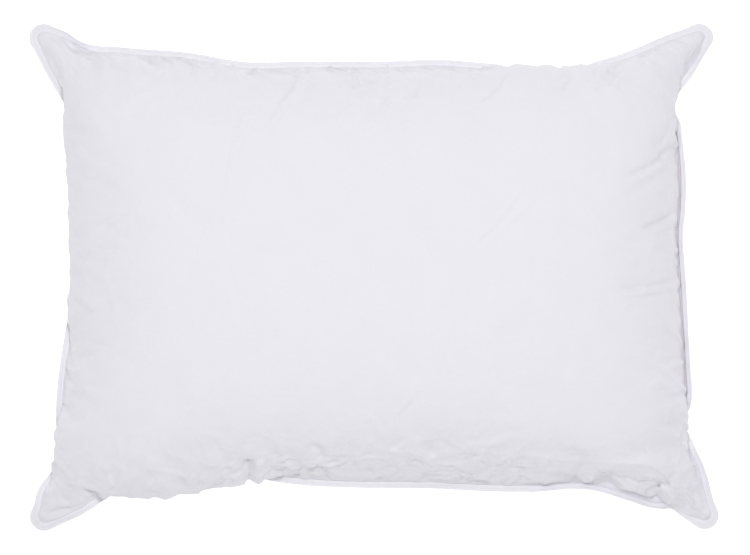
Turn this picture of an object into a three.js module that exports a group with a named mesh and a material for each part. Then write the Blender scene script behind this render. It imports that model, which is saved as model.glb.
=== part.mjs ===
// A filled bed pillow lying on its back, in millimetres, +Z up.
// Two cloth panels are sewn together all round with a flat folded piping caught between them,
// and the bag that they make holds one loose fill. The origin is the middle of the face that
// the pillow rests on. +X runs along the long side, and the filling opening is on the +X end.
import * as THREE from "three";
import { mergeVertices } from "three/addons/utils/BufferGeometryUtils.js";

// Overall form
const length = 790; // corner tip to corner tip along X, piping included
const width = 580; // corner tip to corner tip along Y, piping included
const loft = 204; // full thickness, resting face to crown
const endPullIn = 43; // how far the filling draws each short side in, at its middle
const sidePullIn = 45; // the same for each long side
const earLength = 135; // stretch beside each corner in which a side swings out to the tip
const cornerRadius = 14; // rounding of each corner tip
const seamHeight = 92; // height of the seam plane above the resting face
const restPress = 14; // how much of the lower crown the resting surface flattens

// Cloth, piping and thread
const clothThickness = 0.6;
const pipingWidth = 8; // how far the piping stands out of the seam
const pipingFoldGap = 0.4; // air left between the two layers of the folded piping
const seamAllowance = 8; // how far panels and piping reach inwards from the seam
const threadDiameter = 0.5;
const seamThreadInset = 3.2; // joining seam, inwards from the seam line
const edgeStitchReach = 5.4; // edge stitching on the piping, outwards from the seam line
const closingStitchReach = 1.6; // closing seam on the piping, outwards from the seam line
const closingLength = 300; // filling opening, closed by its own seam

// Clearances between neighbours
const layerGap = 0.3; // between sewn layers, and between a thread and its layer
const fillGap = 1; // between the fill and the cover around it

// Crown profile, steep at the seam and flat in the middle
const crownPower = 3; // higher is flatter in the middle
const crownSteepness = 0.42; // lower is steeper at the seam

// Mesh density
const stepsPerCorner = 4;
const stepsPerEar = 4;
const stepsPerMiddle = 4; // on the stretch of a side between its ears
const insetStations = [2, seamAllowance + fillGap, 24, 50]; // rings near the seam, from it inwards
const scaleStations = [0.8, 0.6, 0.4, 0.2]; // rings of the crown, as shares of the last inset ring
const fillStart = insetStations.indexOf(seamAllowance + fillGap);
const closingSteps = 10;

// Worked out from the sizes above
const halfLength = length / 2;
const halfWidth = width / 2;
const seamHalfLength = halfLength - pipingWidth;
const seamHalfWidth = halfWidth - pipingWidth;
const pipingThickness = 2 * clothThickness + pipingFoldGap;
const panelBase = pipingThickness / 2 + layerGap; // seam plane to the nearer face of an allowance
const topCrown = loft - seamHeight - panelBase - clothThickness;
const bottomCrown = seamHeight + restPress - panelBase - clothThickness;
const threadRadius = threadDiameter / 2;
const upperSide = 1;
const lowerSide = -1;

// Places along one straight side of the base outline, from +half to -half, ends left out.
// Steps are short in the ears, where the outline bends.
function sidePlaces(half) {
  const ear = earLength - cornerRadius;
  const middle = half - ear;
  const earPlaces = Array.from({ length: stepsPerEar }, (_, step) => half - (ear * (step + 1)) / stepsPerEar);
  const middlePlaces = Array.from(
    { length: stepsPerMiddle - 1 },
    (_, step) => middle - (2 * middle * (step + 1)) / stepsPerMiddle
  );
  return [...earPlaces, ...middlePlaces, ...earPlaces.map((place) => -place).toReversed()];
}

// Base outline: a rounded rectangle on the seam line, before the filling draws its sides in
function seamOutline() {
  const straightX = seamHalfLength - cornerRadius;
  const straightY = seamHalfWidth - cornerRadius;
  const corners = [[1, 1], [-1, 1], [-1, -1], [1, -1]];
  return corners.flatMap(([signX, signY], index) => {
    const startAngle = (index * Math.PI) / 2;
    const arc = Array.from({ length: stepsPerCorner + 1 }, (_, step) => {
      const angle = startAngle + (step / stepsPerCorner) * (Math.PI / 2);
      return [
        signX * straightX + cornerRadius * Math.cos(angle),
        signY * straightY + cornerRadius * Math.sin(angle),
      ];
    });
    const side =
      index % 2 === 0
        ? sidePlaces(straightX).map((place) => [signX * place, signY * seamHalfWidth])
        : sidePlaces(straightY).map((place) => [signX * seamHalfLength, signY * place]);
    return [...arc, ...side];
  });
}
const outline = seamOutline();

// The filling draws the sides in between the corners and leaves the tips where they were.
function drawIn(x, y) {
  const ear = (at, half) => THREE.MathUtils.smoothstep(Math.abs(at), half - earLength, half - cornerRadius);
  return [
    x * (1 - (endPullIn / halfLength) * (1 - ear(y, halfWidth))),
    y * (1 - (sidePullIn / halfWidth) * (1 - ear(x, halfLength))),
  ];
}

// One loop around the pillow: inset is the distance inwards from the seam line (negative is
// outwards), scale then shrinks the loop towards the middle, and heightAt gives each z.
function loop(inset, scale, heightAt) {
  return outline.map(([x0, y0]) => {
    const x = x0 * (1 - inset / seamHalfLength) * scale;
    const y = y0 * (1 - inset / seamHalfWidth) * scale;
    const [drawnX, drawnY] = drawIn(x, y);
    return new THREE.Vector3(drawnX, drawnY, heightAt(x / seamHalfLength, y / seamHalfWidth));
  });
}

const flatLoop = (inset, z) => loop(inset, 1, () => z);

// Height of the crown above its base, as a share of the full crown. u and v run from -1 to 1
// between opposite seams, so the crown thins out towards all four sides and most at a corner.
function crownShare(u, v) {
  const across = (share) => 1 - Math.abs(share) ** crownPower;
  return (across(u) * across(v)) ** crownSteepness;
}

// Outer face of a panel as loops from the seam to the crown, then the pole in the middle
function crownLoops(side) {
  const crown = side === upperSide ? topCrown : bottomCrown;
  const base = panelBase + clothThickness;
  const heightOf = (share) => Math.max(0, seamHeight + side * (base + crown * share));
  const lastInset = insetStations[insetStations.length - 1];
  const stations = [
    ...insetStations.map((inset) => [inset, 1]),
    ...scaleStations.map((scale) => [lastInset, scale]),
  ];
  const loops = stations.map(([inset, scale]) =>
    loop(inset, scale, (u, v) => heightOf(crownShare(u, v)))
  );
  return { loops, pole: new THREE.Vector3(0, 0, heightOf(1)) };
}

// The same loops moved inwards along the face's own normals
function offsetCrown({ loops, pole }, side, depth) {
  const seam = flatLoop(0, seamHeight + side * (panelBase + clothThickness));
  const padded = [seam, ...loops, loops[0].map(() => pole)];
  const moved = loops.map((points, ring) =>
    points.map((point, index) => {
      const next = points[(index + 1) % points.length];
      const previous = points[(index - 1 + points.length) % points.length];
      const around = next.clone().sub(previous);
      const inwards = padded[ring + 2][index].clone().sub(padded[ring][index]);
      const normal = around.cross(inwards).normalize().multiplyScalar(side);
      return point.clone().addScaledVector(normal, -depth);
    })
  );
  return { loops: moved, pole: pole.clone().setZ(pole.z - side * depth) };
}

// A closed surface through loops of equal length. With two poles it is capped at both ends,
// and without them the last loop joins the first, as in a ring. Faces are turned outwards.
// A quad is always split from its wider loop, so that nested surfaces are split alike.
function closedSurface(loops, poles) {
  const count = loops[0].length;
  const points = loops.flat();
  const triangles = [];
  const bands = poles ? loops.length - 1 : loops.length;
  for (let band = 0; band < bands; band++) {
    const near = band * count;
    const far = ((band + 1) % loops.length) * count;
    const nearIsWider = points[near].length() >= points[far].length();
    for (let index = 0; index < count; index++) {
      const next = (index + 1) % count;
      if (nearIsWider) {
        triangles.push(near + index, far + index, far + next, near + index, far + next, near + next);
      } else {
        triangles.push(near + index, far + index, near + next, near + next, far + index, far + next);
      }
    }
  }
  if (poles) {
    const lastLoop = (loops.length - 1) * count;
    const firstPole = points.push(poles[0]) - 1;
    const lastPole = points.push(poles[1]) - 1;
    for (let index = 0; index < count; index++) {
      const next = (index + 1) % count;
      triangles.push(firstPole, index, next);
      triangles.push(lastPole, lastLoop + next, lastLoop + index);
    }
  }
  if (signedVolume(points, triangles) < 0) triangles.reverse();
  const geometry = new THREE.BufferGeometry().setFromPoints(points);
  geometry.setIndex(triangles);
  return mergeVertices(geometry);
}

function signedVolume(points, triangles) {
  let volume = 0;
  for (let first = 0; first < triangles.length; first += 3) {
    const [a, b, c] = [0, 1, 2].map((corner) => points[triangles[first + corner]]);
    volume += a.dot(b.clone().cross(c)) / 6;
  }
  return volume;
}

// A cloth panel: outer face, fold at the seam, allowance turned inwards, inner face
function panelGeometry(side) {
  const z = (distance) => seamHeight + side * distance;
  const outer = crownLoops(side);
  const inner = offsetCrown(outer, side, clothThickness);
  return closedSurface(
    [
      ...outer.loops.toReversed(),
      flatLoop(0, z(panelBase + clothThickness / 2)),
      flatLoop(clothThickness / 2, z(panelBase)),
      flatLoop(seamAllowance, z(panelBase)),
      flatLoop(seamAllowance, z(panelBase + clothThickness)),
      flatLoop(clothThickness * 1.5, z(panelBase + clothThickness)),
      ...inner.loops,
    ],
    [outer.pole, inner.pole]
  );
}

// The fill follows the inside of both panels and stops at the ends of the seam allowances.
function fillGeometry() {
  const depth = clothThickness + fillGap;
  const [top, bottom] = [upperSide, lowerSide].map((side) => offsetCrown(crownLoops(side), side, depth));
  return closedSurface(
    [...top.loops.slice(fillStart).toReversed(), ...bottom.loops.slice(fillStart)],
    [top.pole, bottom.pole]
  );
}

// One strip of cloth folded lengthwise: the fold is the outer edge, and both raw edges lie
// between the allowances of the panels.
function pipingGeometry() {
  const outerFace = pipingThickness / 2;
  const innerFace = pipingFoldGap / 2;
  const foldEdge = -pipingWidth;
  const shoulder = foldEdge + clothThickness;
  return closedSurface([
    flatLoop(foldEdge, seamHeight),
    flatLoop(shoulder, seamHeight + outerFace),
    flatLoop(seamAllowance, seamHeight + outerFace),
    flatLoop(seamAllowance, seamHeight + innerFace),
    flatLoop(shoulder, seamHeight + innerFace),
    flatLoop(shoulder, seamHeight - innerFace),
    flatLoop(seamAllowance, seamHeight - innerFace),
    flatLoop(seamAllowance, seamHeight - outerFace),
    flatLoop(shoulder, seamHeight - outerFace),
  ]);
}

// A run of thread all the way round, at one distance from the seam line
function threadRing(inset, z) {
  return closedSurface([
    flatLoop(inset - threadRadius, z),
    flatLoop(inset, z + threadRadius),
    flatLoop(inset + threadRadius, z),
    flatLoop(inset, z - threadRadius),
  ]);
}

// The closing seam runs only along the filling opening, at the middle of the +X end.
function closingThread(side) {
  const z = seamHeight + side * (pipingThickness / 2 + layerGap + threadRadius);
  const centre = (step) => {
    const y = (step / closingSteps - 0.5) * closingLength;
    const [drawnX, drawnY] = drawIn(seamHalfLength + closingStitchReach, y);
    return new THREE.Vector3(drawnX, drawnY, z);
  };
  const section = (middle) => [
    middle.clone().add(new THREE.Vector3(-threadRadius, 0, 0)),
    middle.clone().add(new THREE.Vector3(0, 0, threadRadius)),
    middle.clone().add(new THREE.Vector3(threadRadius, 0, 0)),
    middle.clone().add(new THREE.Vector3(0, 0, -threadRadius)),
  ];
  const centres = Array.from({ length: closingSteps + 1 }, (_, step) => centre(step));
  return closedSurface(centres.map(section), [centres[0], centres[closingSteps]]);
}

const coverCloth = { color: new THREE.Color(0.9, 0.9, 0.93), roughness: 0.9 };
const pipingCloth = { color: new THREE.Color(0.93, 0.93, 0.95), roughness: 0.85 };
const downFill = { color: new THREE.Color(0.94, 0.92, 0.87), roughness: 1 };
const whiteThread = { color: new THREE.Color(0.92, 0.92, 0.93), roughness: 0.7 };
const ecruThread = { color: new THREE.Color(0.72, 0.62, 0.53), roughness: 0.7 };

const pillow = new THREE.Group();
pillow.name = "pillow";

function addPiece(name, geometry, finish) {
  geometry.computeVertexNormals();
  const mesh = new THREE.Mesh(geometry, new THREE.MeshStandardMaterial({ metalness: 0, ...finish }));
  mesh.name = name;
  pillow.add(mesh);
}

const seamThreadHeight = panelBase + clothThickness + layerGap + threadRadius;
const edgeThreadHeight = pipingThickness / 2 + layerGap + threadRadius;

addPiece("top_panel", panelGeometry(upperSide), coverCloth);
addPiece("bottom_panel", panelGeometry(lowerSide), coverCloth);
addPiece("edge_piping", pipingGeometry(), pipingCloth);
addPiece("fill", fillGeometry(), downFill);
for (const [thread, side] of [["needle_thread", upperSide], ["bobbin_thread", lowerSide]]) {
  addPiece(`seam_${thread}`, threadRing(seamThreadInset, seamHeight + side * seamThreadHeight), ecruThread);
  addPiece(`edge_${thread}`, threadRing(-edgeStitchReach, seamHeight + side * edgeThreadHeight), whiteThread);
  addPiece(`closing_${thread}`, closingThread(side), ecruThread);
}

export default pillow;
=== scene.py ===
"""A bed pillow: a white cotton cover with a flat piping in its seam, filled with down.

Everything is in metres, in the frame of the CAD model: +X points along the pillow to the end that
was closed after filling, +Y across it and +Z up, with the floor at zero. The cover is blown up from
its flat cut by a cloth simulation, and the piping, the threads and the fill are then fitted to it.
"""

import math

import bpy
import numpy as np
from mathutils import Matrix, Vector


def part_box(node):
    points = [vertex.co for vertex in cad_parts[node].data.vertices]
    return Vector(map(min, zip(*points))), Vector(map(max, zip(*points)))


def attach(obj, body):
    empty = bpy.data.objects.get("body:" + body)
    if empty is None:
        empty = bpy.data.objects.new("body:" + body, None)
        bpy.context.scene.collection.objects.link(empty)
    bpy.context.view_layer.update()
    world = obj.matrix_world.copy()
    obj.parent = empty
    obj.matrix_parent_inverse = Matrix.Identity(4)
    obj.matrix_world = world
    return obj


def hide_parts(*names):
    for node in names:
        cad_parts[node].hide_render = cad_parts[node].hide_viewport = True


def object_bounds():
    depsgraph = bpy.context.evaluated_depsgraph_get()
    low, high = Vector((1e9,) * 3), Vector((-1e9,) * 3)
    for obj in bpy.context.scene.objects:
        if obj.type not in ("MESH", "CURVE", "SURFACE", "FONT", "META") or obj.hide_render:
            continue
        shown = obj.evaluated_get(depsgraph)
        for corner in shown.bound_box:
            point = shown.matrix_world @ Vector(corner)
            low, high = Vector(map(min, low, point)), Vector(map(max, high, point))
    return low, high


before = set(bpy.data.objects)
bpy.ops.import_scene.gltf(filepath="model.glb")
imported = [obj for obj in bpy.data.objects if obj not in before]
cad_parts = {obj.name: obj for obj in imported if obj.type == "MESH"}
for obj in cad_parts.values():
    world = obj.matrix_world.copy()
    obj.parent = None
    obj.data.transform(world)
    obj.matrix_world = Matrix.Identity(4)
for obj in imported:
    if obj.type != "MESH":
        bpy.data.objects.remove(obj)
cad_low, cad_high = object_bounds()

MM = 0.001
SIDES = ("front", "right", "back", "left")

# Sizes that the frame gives.
panel_low, panel_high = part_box("top_panel")
piping_low, piping_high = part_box("edge_piping")
TIP_X, TIP_Y = panel_high.x, panel_high.y
PIPING_WIDTH = piping_high.x - panel_high.x
SEAM_Z = (piping_low.z + piping_high.z) / 2
LOFT = cad_high.z

# The flat cover, from seam to seam, and the cloth that turns in behind the seam.
CUT_X, CUT_Y = 800 * MM, 600 * MM
ALLOWANCE = 8 * MM
CORNER_ALLOWANCE = 4 * MM
CORNER_RADIUS = 11 * MM
CLOTH = 0.4 * MM

# Cloth simulation.
SIM_CELL = 6 * MM
SIM_FRAMES = 24
SIM_QUALITY = 5
SIM_PRESSURE = 4
SIM_PRESSURE_CELL = 8 * MM
START_LOFT = 20 * MM
CLOTH_MASS = 0.1
AIR_DAMPING = 4

# How stiff and how damped the cloth is in each way that it gives.
CLOTH_GIVE = {"tension": (40, 5), "compression": (2, 5), "shear": (1, 5), "bending": (2, 0.5)}

# How far the base would sink below the floor, and how softly it flattens there.
REST_PRESS = 14 * MM
REST_SOFTNESS = 3.5 * MM

# Surface grids: the cell near the seam, the cell in the middle, and the width of the fine band.
FINE_CELL = 1.8 * MM
MIDDLE_CELL = 2.3 * MM
FINE_BAND = 110 * MM
GRADE_SAMPLES = 2001

# Outline: how far each side's edge, piping included, lies from the pillow's middle line, as
# (place along the side, distance out) in mm. Front is -Y, right is +X, back is +Y, left is -X.
OUTLINE = {
    "front": [(-374, 289), (-334, 271), (-311, 256), (-267, 252), (-229, 252), (-198, 245), (-159, 239),
              (-121, 233), (-100, 236), (-48, 240), (61, 242), (192, 245), (226, 242), (249, 243),
              (301, 258), (328, 266), (342, 265), (362, 278), (380, 290)],
    "right": [(-270, 395), (-252, 391), (-216, 380), (-197, 371), (-168, 360), (-143, 366), (-106, 365),
              (-22, 360), (14, 358), (45, 356), (88, 359), (157, 356), (179, 353), (190, 347),
              (208, 350), (239, 371), (268, 387), (280, 391)],
    "back": [(-380, 289), (-358, 284), (-339, 272), (-322, 266), (-302, 266), (-271, 263), (-216, 259),
             (-140, 247), (-85, 248), (7, 248), (85, 250), (134, 246), (180, 243), (239, 243),
             (260, 249), (301, 262), (338, 278), (365, 287), (384, 290)],
    "left": [(-275, 390), (-266, 388), (-241, 382), (-232, 373), (-210, 365), (-179, 364), (-106, 359),
             (-64, 352), (-19, 346), (43, 346), (136, 350), (180, 354), (204, 355), (217, 363),
             (256, 384), (280, 394)],
}
# How deep this reshapes the cover, how smoothly along the side, and the ends that move as one.
OUTLINE_REACH = 150 * MM
OUTLINE_EASE = 6.5 * MM
OUTLINE_ENDS = 18 * MM

# How widely and how fully the simulated puckers are softened: fully at the seam, not at all at the tips.
CALM_WIDTH = 20 * MM
CALM_SHARE = 0.5
CALM_TIP_REACH = 3 * CALM_WIDTH
RIM_FADE = 12 * MM

# Where the filled cover bulges over its seam and hides the piping, as (from, to) along the side in mm.
OVERHANGS = {
    "front": [(-311, -117), (341, 358)],
    "right": [(-186, -149), (180, 218)],
    "back": [(147, 255)],
    "left": [(-232, -163), (-54, 204)],
}
# Where the piping turns up beside the cover and leaves a groove that shows the thread.
UPTURNS = {
    "front": [(185, 335)],
    "right": [(-232, -195), (-147, 172), (238, 268)],
    "back": [(-350, -322)],
    "left": [],
}
# How the seam rolls under these bulges and the cover swells over them, and how far the ears droop.
ROLL_ANGLE = math.radians(17)
ROLL_ARM = 42 * MM
ROLL_REACH = 105 * MM
ROLL_BLEND = 80 * MM
PLUMP = 11 * MM
PLUMP_DEPTH = 26 * MM
EAR_DROOP = 10 * MM
EAR_REACH = 150 * MM

# Piping. Its upper face from its raw edge to its fold, as (out from the seam, half thickness) in mm.
PIPING_PROFILE = [
    (-7, 0.45), (-3, 0.45), (-0.5, 0.45), (0.8, 0.7), (2, 0.95), (3.2, 1), (4.3, 0.88),
    (5, 0.62), (5.4, 0.52), (5.8, 0.62), (6.5, 0.95), (7.2, 0.98), (7.7, 0.7), (8, 0.0),
]
PIPING_CLOTH = 0.4 * MM
PIPING_STEP = 1.0 * MM
PIPING_NECK = 0.6 * MM

# How far the piping points down, how far where the cover bulges over it, and how far up at upturns.
PIPING_PITCH = math.radians(9)
PIPING_TUCK = math.radians(68)
TUCK_BLEND = 28 * MM
PIPING_UPTURN = math.radians(42)
UPTURN_BLEND = 22 * MM
PIPING_SWAY = math.radians(4)
SWAY_GRAIN = 45 * MM
PIPING_FLUTTER = math.radians(2)
FLUTTER_GRAIN = 14 * MM
RUN_EASE = 1
PITCH_EASE = 2

# The stitches' pull on the piping's thickness and width, and its shape at the corner tips.
PIPING_RIB = 0.32
PIPING_SCALLOP = 0.006
TIP_SPAN = 15 * MM
TIP_WIDENING = 0.45
TIP_NARROWING = 0.6

# The lip: cloth that rolls over the piping from the cover and turns in behind the seam.
LIP_RADIUS = 0.75 * MM
LIP_INSET = 0.3
LIP_ANGLES = [math.radians(turn) for turn in (30, -10, -50, -90)]
LIP_REACH = 14 * MM
LIP_RIPPLE = 0.3
LIP_RIPPLE_GRAIN = 7 * MM
LIP_RIPPLE_LIMITS = (-0.5, 0.8)
ALLOWANCE_RINGS = (0.5, 1)
CORNER_START = 0.85
CORNER_BLEND = 0.12
RING_CUT_STEP = 0.004

# Threads. Each row of stitches has its thread's material, its distance out from the seam and its
# height over the middle of the piping.
STITCH_ROWS = {
    "edge": ("white_thread", 5.4 * MM, 0.7 * MM),
    # The seam and closing rows' ecru thread is coloured a darker brown: real ecru thread with the painted
    # shade of the groove it lies in.
    "seam": ("ecru_thread", -3.2 * MM, PIPING_NECK + CLOTH + 0.3 * MM),
    "closing": ("ecru_thread", 1.9 * MM, 1.2 * MM),
}
THREAD = 0.5 * MM
THREAD_SIDES = 5
STITCH_PITCH = 3 * MM
STITCH_STEPS = 8
STITCH_SLANT = 0.15 * MM
STITCH_DIP = 0.12
STITCH_LOCK = 0.55 * THREAD
CLOSING_OVERRUN = 25 * MM
CLOSING_MARGIN = 30 * MM

# Relief of the cover: low lumps, creases that cross one another in patches, and pulls at the tips.
LUMP_HEIGHT = 0.2 * MM
LUMP_GRAIN = 80 * MM
CRUMPLE_HEIGHT = 0.8 * MM
CRUMPLE_MIDDLE = 0.12
CRUMPLE_BAND = {"front": 1.9, "right": 0.5, "back": 0.8, "left": 0.4}
CRUMPLE_DEPTH = 55 * MM
CRUMPLES = ((32 * MM, 1.0), (17 * MM, 0.6), (10 * MM, 0.35))  # (grain, share of the height)
CRUMPLE_BEND = 0.8
CRUMPLE_BEND_GRAIN = 1.9
CRUMPLE_BLUNTNESS = 0.01
PATCH_GRAIN = 120 * MM
PATCH_CONTRAST = 0.6
PATCH_LEAST = 0.4
TIP_CALM = 0.25
TIP_CALM_REACH = 140 * MM
STREAK_FAN = 16
STREAK_LENGTH = 70 * MM
STREAK_START = 40 * MM
STREAK_REACH = 240 * MM
STREAK_HEIGHT = 0.4 * MM
STREAK_SHIFTS = (7, 13)
RELIEF_MARGIN = 7 * MM
NOISE_TILE = 97

# A crease's section, in its own width: a sharp ridge, and a rounder and lower valley beside it.
CREASE_SHARPNESS = 1.25
VALLEY_SHARE = 0.55
VALLEY_PLACE = 1.7
VALLEY_WIDTH = 1.1
FOLD_TAPER = 0.25

# Gathers: small folds that run in from the seam, some sunk at full height and some raised less.
GATHER_SPACING = 4 * MM
GATHER_HALF_WIDTHS = (1.3 * MM, 3.4 * MM)
GATHER_REACHES = (12 * MM, 55 * MM)
GATHER_HEIGHT = {"front": 1.6 * MM, "right": 2.0 * MM, "back": 3.4 * MM, "left": 1.8 * MM}
GATHER_SIZES = (0.3, 1)
GATHER_TURNS = (-1, 0.7)
GATHER_LEAN = {"front": 0.0, "right": 0.3, "back": 0.5, "left": -0.3}
LEAN_SPREAD = 0.35
GATHER_WIDENING = 1.2
GATHER_FADE = 1.6

# Seeds of the random draws. The steps are added to a panel's own seed.
PANEL_SEEDS = {"cover_top": 11, "cover_bottom": 151}
SEED_STEPS = {"lumps": 0, "patches": 5, "streaks": 8, "gathers": 20, "ripple": 40, "crumple": 60}
CRUMPLE_SEED_STEP = 7
SWAY_SEED = 71
FLUTTER_SEED = 72
FILL_SEEDS = (301, 311)

# Fill.
FILL_CELL = 4 * MM
FILL_MARGIN = 14 * MM
FILL_GAP = 9 * MM
FILL_TUFTS = ((30 * MM, 1.6 * MM), (13 * MM, 1.1 * MM))  # (grain, depth)

# Studio.
FLOOR_SIZE = 80
FLOOR_GLOW = 0.5
SENSOR_WIDTH = 36
CAMERA_DISTANCE = 6.0
VIEW_WIDTH = 859 * MM
CAMERA_OFFSET = 3.4 * MM
KEY_PLACE = (0.02, 0.34, 3.0)
KEY_SIZE = 0.5
KEY_POWER = 41
SKY_LIGHT = 0.54


# ---- numbers along lines and grids

def smoothstep(share):
    """0 below 0, 1 above 1, and a smooth rise between them."""
    t = np.clip(share, 0, 1)
    return t * t * (3 - 2 * t)


def read_weights(places, count):
    """Weights that read a row of `count` samples at fractional places along a Catmull-Rom spline."""
    base = np.clip(np.floor(places).astype(int), 0, count - 2)
    t = places - base
    taps = {
        -1: -0.5 * t + t**2 - 0.5 * t**3,
        0: 1 - 2.5 * t**2 + 1.5 * t**3,
        1: 0.5 * t + 2 * t**2 - 1.5 * t**3,
        2: -0.5 * t**2 + 0.5 * t**3,
    }
    weights = np.zeros((len(places), count))
    for shift, tap in taps.items():
        np.add.at(weights, (np.arange(len(places)), np.clip(base + shift, 0, count - 1)), tap)
    return weights


def through(points, at):
    """A smooth line through given (place, value) points in millimetres, read at places in metres."""
    places, values = np.array(points, float).T * MM
    slopes = np.gradient(values, places)
    k = np.clip(np.searchsorted(places, at) - 1, 0, len(places) - 2)
    gap = places[k + 1] - places[k]
    t = np.clip((at - places[k]) / gap, 0, 1)
    start = (1 + 2 * t) * (1 - t) ** 2 * values[k] + t * (1 - t) ** 2 * gap * slopes[k]
    end = t**2 * (3 - 2 * t) * values[k + 1] - t**2 * (1 - t) * gap * slopes[k + 1]
    return start + end


def smoothed(values, spread, wrap=False):
    """Values along their first axis, averaged by a bell curve `spread` samples wide.

    An open row keeps its two end values, because it is continued past them by its own mirror image.
    """
    reach = max(1, int(3 * spread))
    bell = np.exp(-0.5 * (np.arange(-reach, reach + 1) / spread) ** 2)
    bell /= bell.sum()
    before, after = values[-reach:], values[:reach]
    if not wrap:
        before = 2 * values[:1] - values[reach:0:-1]
        after = 2 * values[-1:] - values[-2:-reach - 2:-1]
    padded = np.concatenate([before, values, after])
    return sum(weight * padded[k:k + len(values)] for k, weight in enumerate(bell))


def graded_places(length):
    """Places from -length/2 to length/2, closer together near both ends."""
    at = np.linspace(-length / 2, length / 2, GRADE_SAMPLES)
    inward = smoothstep((length / 2 - np.abs(at)) / FINE_BAND)
    cell = FINE_CELL + (MIDDLE_CELL - FINE_CELL) * inward
    cells = np.concatenate([[0], np.cumsum(np.diff(at) / cell[1:])])
    count = round(cells[-1])
    return np.interp(np.arange(count + 1) * cells[-1] / count, cells, at)


def noise_grid(xs, ys, grain, seed):
    """Smooth noise of about unit size over a grid, with features `grain` wide."""
    rng = np.random.default_rng(seed)
    columns, rows = [int(np.ptp(axis) / grain) + 4 for axis in (xs, ys)]
    lattice = rng.standard_normal((columns, rows))
    across = read_weights((xs - xs[0]) / grain + 1, columns)
    along = read_weights((ys - ys[0]) / grain + 1, rows)
    return across @ lattice @ along.T


def noise_at(u, v, seed):
    """Smooth noise of about unit size at any places, with features about one unit wide."""
    lattice = np.random.default_rng(seed).standard_normal((NOISE_TILE, NOISE_TILE))
    column, row = np.floor(u).astype(int), np.floor(v).astype(int)
    ease_u, ease_v = smoothstep(u - column), smoothstep(v - row)
    total = 0
    for step_u, weight_u in ((0, 1 - ease_u), (1, ease_u)):
        for step_v, weight_v in ((0, 1 - ease_v), (1, ease_v)):
            corner = lattice[(column + step_u) % NOISE_TILE, (row + step_v) % NOISE_TILE]
            total = total + weight_u * weight_v * corner
    return total


def noise_loop(places, perimeter, grain, seed):
    """Smooth noise of about unit size round a closed line."""
    count = round(perimeter / grain)
    lattice = np.random.default_rng(seed).standard_normal(count)
    lattice = np.concatenate([lattice[-2:], lattice, lattice[:3]])
    return read_weights(places / perimeter * count + 2, len(lattice)) @ lattice


# ---- the inflated cover

def flat_places(length):
    count = round(length / SIM_CELL)
    return np.linspace(-length / 2, length / 2, count + 1)


def sewn_bag_mesh(xs, ys):
    """Two flat panels that share their rim, slightly parted, with the vertex index of each grid point."""
    columns, rows = len(xs), len(ys)
    top = np.arange(columns * rows).reshape(columns, rows)
    bottom = top.copy()
    inside = (columns - 2, rows - 2)
    bottom[1:-1, 1:-1] = columns * rows + np.arange(math.prod(inside)).reshape(inside)
    x, y = np.meshgrid(xs, ys, indexing="ij")
    rise = START_LOFT * np.sqrt(np.clip((1 - (x / xs[-1]) ** 2) * (1 - (y / ys[-1]) ** 2), 0, 1))
    points = np.stack([x, y, rise], -1).reshape(-1, 3)
    lower = np.stack([x, y, -rise], -1)[1:-1, 1:-1].reshape(-1, 3)
    quads = np.vstack([grid_quads(top), grid_quads(bottom)[:, ::-1]])
    mesh = bpy.data.meshes.new("sewn_bag")
    mesh.from_pydata(np.vstack([points, lower]).tolist(), [], quads.tolist())
    return mesh, top, bottom


def grid_quads(index):
    """Quads between the vertices of an index grid, facing +Z when its axes run along +X and +Y."""
    corners = [index[:-1, :-1], index[1:, :-1], index[1:, 1:], index[:-1, 1:]]
    return np.stack(corners, -1).reshape(-1, 4)


def inflated_cover():
    """The flat cover blown up by Cloth, as two grids of points that share their rim."""
    mesh, top, bottom = sewn_bag_mesh(flat_places(CUT_X), flat_places(CUT_Y))
    bag = bpy.data.objects.new("sewn_bag", mesh)
    bpy.context.scene.collection.objects.link(bag)
    cloth = bag.modifiers.new("inflate", "CLOTH")
    settings = cloth.settings
    settings.quality = SIM_QUALITY
    settings.mass = CLOTH_MASS
    for way, (stiffness, damping) in CLOTH_GIVE.items():
        setattr(settings, f"{way}_stiffness", stiffness)
        setattr(settings, f"{way}_damping", damping)
    settings.air_damping = AIR_DAMPING
    settings.use_pressure = True
    settings.uniform_pressure_force = SIM_PRESSURE * (SIM_PRESSURE_CELL / SIM_CELL) ** 2
    settings.effector_weights.gravity = 0
    cloth.collision_settings.use_collision = False
    cloth.point_cache.frame_start = 1
    cloth.point_cache.frame_end = SIM_FRAMES
    for step in range(1, SIM_FRAMES + 1):
        bpy.context.scene.frame_set(step)
    settled = bpy.data.meshes.new_from_object(bag.evaluated_get(bpy.context.evaluated_depsgraph_get()))
    points = np.zeros(len(settled.vertices) * 3)
    settled.vertices.foreach_get("co", points)
    points = points.reshape(-1, 3)
    bpy.data.objects.remove(bag)
    bpy.data.meshes.remove(settled)
    bpy.context.scene.frame_set(1)
    return points[top], points[bottom]


def seat_in_frame(top, bottom):
    """Scales the cover so that its tips and its loft are the frame's, and rests it on the floor."""
    middle = (top[:, :, :2].max((0, 1)) + top[:, :, :2].min((0, 1))) / 2
    tips = top[[0, 0, -1, -1], [0, -1, 0, -1], :2] - middle
    half = np.abs(tips).mean(0)
    crown, base = top[:, :, 2].max(), -bottom[:, :, 2].min()
    seated = []
    for grid, stretch in ((top, (LOFT - SEAM_Z) / crown), (bottom, (SEAM_Z + REST_PRESS) / base)):
        grid = grid.copy()
        grid[:, :, :2] = (grid[:, :, :2] - middle) * np.array([TIP_X, TIP_Y]) / half
        grid[:, :, 2] = SEAM_Z + grid[:, :, 2] * stretch
        seated.append(grid)
    rim = np.ones(top.shape[:2], bool)
    rim[1:-1, 1:-1] = False
    seated[1][rim] = seated[0][rim]
    return seated


def tip_distance(points):
    """How far each point lies from the nearest corner tip, seen from above."""
    return np.hypot(TIP_X - np.abs(points[..., 0]), TIP_Y - np.abs(points[..., 1]))


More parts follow.
